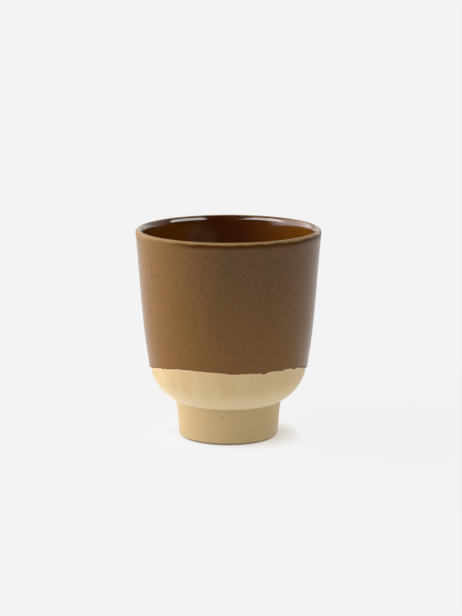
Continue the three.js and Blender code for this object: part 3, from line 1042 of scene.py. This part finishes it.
class CUP_OT_turn_bowl(CupStep, bpy.types.Operator):
    """Turn the stoneware bowl"""

    bl_idname = "cup.turn_bowl"
    bl_label = "Turn Bowl"

    def execute(self, context):
        colours = context.scene.cup_colours
        material = stoneware("buff_stoneware", colours.clay, colours.clay_floor_bounce, colours)
        turn_piece("turned_bowl", "bowl", CupSection.bowl, CLAY_SEGMENTS, material)
        return {"FINISHED"}


class CUP_OT_turn_foot_ring(CupStep, bpy.types.Operator):
    """Turn the tall foot ring"""

    bl_idname = "cup.turn_foot_ring"
    bl_label = "Turn Foot Ring"

    def execute(self, context):
        colours = context.scene.cup_colours
        # The foot's clay is painted darker than the bowl's, as shade under the belly.
        material = stoneware("shaded_foot_stoneware", colours.clay_foot_shaded, colours.clay_foot_shaded, colours)
        outline = CupSection.foot_ring
        turn_piece("turned_foot_ring", "foot_ring", outline, CLAY_SEGMENTS, material)
        return {"FINISHED"}


class CUP_OT_lute_joint(CupStep, bpy.types.Operator):
    """Fill the joint between bowl and foot ring with slip"""

    bl_idname = "cup.lute_joint"
    bl_label = "Lute Joint"

    def execute(self, context):
        colours = context.scene.cup_colours
        material = stoneware("stoneware_slip", colours.slip, colours.slip, colours)
        turn_piece("slip_joint", "luting_slip", CupSection.luting_slip, CLAY_SEGMENTS, material)
        return {"FINISHED"}


class CUP_OT_pour_liner(CupStep, bpy.types.Operator):
    """Pour the glossy liner"""

    bl_idname = "cup.pour_liner"
    bl_label = "Pour Liner"

    def execute(self, context):
        material = gloss_liner(context.scene.cup_colours)
        turn_piece("liner_coat", "liner_glaze", CupSection.liner, CLAY_SEGMENTS, material)
        return {"FINISHED"}


class CUP_OT_dip_outside(CupStep, bpy.types.Operator):
    """Dip the outside in satin glaze down to its wandering line"""

    bl_idname = "cup.dip_outside"
    bl_label = "Dip Outside"

    def execute(self, context):
        material = satin_glaze(context.scene.cup_colours)
        outline = CupSection.dipped_coat
        turn_piece("dipped_coat", "outer_glaze", outline, LINE_SEGMENTS, material)
        return {"FINISHED"}


class CUP_OT_glaze_lip(CupStep, bpy.types.Operator):
    """Glaze the lip, where the two coats meet"""

    bl_idname = "cup.glaze_lip"
    bl_label = "Glaze Lip"

    def execute(self, context):
        material = lip_glaze(context.scene.cup_colours)
        turn_piece("lip_coat", "lip_glaze", CupSection.lip_band, LIP_SEGMENTS, material)
        return {"FINISHED"}


class CUP_OT_scatter_grit(CupStep, bpy.types.Operator):
    """Set grains of grog, and one iron speck, in the bare clay"""

    bl_idname = "cup.scatter_grit"
    bl_label = "Scatter Grit"

    def execute(self, context):
        grit = context.scene.grit_sizes
        material = grog(context.scene.cup_colours)
        tree = tree_named("Clay grit", grit_tree)
        section = CupSection(context.scene.cup_sizes, context.scene.glaze_sizes)
        speck_radius = section.foot_side(grit.speck_height)
        speck = Vector((
            speck_radius * math.sin(grit.speck_angle),
            -speck_radius * math.cos(grit.speck_angle),
            grit.speck_height,
        ))
        for seed, (name, clay, marked) in enumerate((
            ("bowl_grit", "turned_bowl", 0),
            ("foot_grit", "turned_foot_ring", 1),
        )):
            piece = new_piece(name, bpy.data.objects[clay].data.copy())
            run_tree(piece, tree, {
                "Density": 1 / grit.spacing**2,
                "Smallest": grit.smallest,
                "Largest": grit.largest,
                "Clear Of Glaze": grit.clear,
                "Marked": marked,
                "Marked Place": speck,
                "Marked Size": grit.speck,
                "Marked Tone": grit.speck_tone,
                "Seed": seed,
                "Material": material,
            })
            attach(piece, "root")
        return {"FINISHED"}


def light_room(name, brightness):
    """A white room whose softboxes are drawn on it by direction, so that they light the floor evenly."""
    room = bpy.data.worlds.new(name)
    room.use_nodes = True
    tree = room.node_tree
    tree.nodes.clear()
    way = add(tree, "ShaderNodeTexCoord").outputs["Generated"]
    light = brightness
    for box in SOFTBOXES:
        turn = (-math.radians(box.elevation), math.radians(box.roll), -math.radians(box.azimuth))
        turned = add(
            tree,
            "ShaderNodeVectorRotate",
            {"Vector": way, "Rotation": turn},
            rotation_type="EULER_XYZ",
            invert=True,
        )
        local = add(tree, "ShaderNodeSeparateXYZ", [turned])
        ahead = add(tree, "ShaderNodeMath", [local.outputs["Y"], -1.0], operation="MULTIPLY")
        panel = add(tree, "ShaderNodeMath", [ahead, 0.0], operation="GREATER_THAN")
        for axis, angle in (("X", box.width), ("Z", box.height)):
            reach = math.tan(math.radians(angle / 2))
            across = add(tree, "ShaderNodeMath", [local.outputs[axis], ahead], operation="DIVIDE")
            across = add(tree, "ShaderNodeMath", [across], operation="ABSOLUTE")
            within = add(
                tree,
                "ShaderNodeMapRange",
                {"Value": across, "From Min": reach * (1 + box.edge), "From Max": reach * (1 - box.edge)},
                interpolation_type="SMOOTHSTEP",
            )
            panel = add(tree, "ShaderNodeMath", [panel, within], operation="MULTIPLY")
        light = add(tree, "ShaderNodeMath", [panel, box.brightness, light], operation="MULTIPLY_ADD")
    shader = add(tree, "ShaderNodeBackground", {"Color": WHITE, "Strength": light})
    add(tree, "ShaderNodeOutputWorld", [shader])
    return room


class CUP_OT_set_stage(CupStep, bpy.types.Operator):
    """Set the pale floor, the soft light and the camera"""

    bl_idname = "cup.set_stage"
    bl_label = "Set Stage"

    def execute(self, context):
        scene = context.scene
        stage = scene.stage_settings
        half = stage.floor_size / 2
        sheet = bpy.data.meshes.new("floor")
        corners = [(-half, -half, 0.0), (half, -half, 0.0), (half, half, 0.0), (-half, half, 0.0)]
        sheet.from_pydata(corners, [], [(0, 1, 2, 3)])
        sheet.materials.append(matt_floor(scene.cup_colours, stage.floor_glow))
        new_piece("floor", sheet)

        scene.world = light_room("white_room", stage.room)
        scene.view_settings.view_transform = "Standard"

        camera = bpy.data.objects.new("camera", bpy.data.cameras.new("camera"))
        camera.location = (stage.camera_side, -stage.camera_distance, stage.camera_height)
        camera.rotation_euler = (math.pi / 2 - stage.camera_pitch, 0.0, 0.0)
        camera.data.lens = stage.camera_lens
        camera.data.clip_end = stage.floor_size
        scene.collection.objects.link(camera)
        scene.camera = camera
        return {"FINISHED"}


STEPS = (
    CUP_OT_turn_bowl,
    CUP_OT_turn_foot_ring,
    CUP_OT_lute_joint,
    CUP_OT_pour_liner,
    CUP_OT_dip_outside,
    CUP_OT_glaze_lip,
    CUP_OT_scatter_grit,
    CUP_OT_set_stage,
)


class CUP_PT_making(bpy.types.Panel):
    """The steps of the making, and the sizes and colours that they read"""

    bl_label = "Stoneware Cup"
    bl_idname = "CUP_PT_making"
    bl_space_type = "VIEW_3D"
    bl_region_type = "UI"
    bl_category = "Cup"

    def draw(self, context):
        for step in STEPS:
            self.layout.operator(step.bl_idname)
        for name, group in GROUPS.items():
            box = self.layout.box()
            box.label(text=name.replace("_", " ").capitalize())
            for field in group.__annotations__:
                box.prop(getattr(context.scene, name), field)


CLASSES = (*GROUPS.values(), *STEPS, CUP_PT_making)


def register():
    """Adds the classes, and the settings to the scene."""
    for item in CLASSES:
        bpy.utils.register_class(item)
    for name, group in GROUPS.items():
        setattr(bpy.types.Scene, name, bpy.props.PointerProperty(type=group))


def unregister():
    """Takes the settings and the classes out again."""
    for name in GROUPS:
        delattr(bpy.types.Scene, name)
    for item in reversed(CLASSES):
        bpy.utils.unregister_class(item)


def main():
    """Makes the cup and its stage."""
    register()
    for step in STEPS:
        family, name = step.bl_idname.split(".")
        getattr(getattr(bpy.ops, family), name)()


if __name__ == "__main__":
    main()
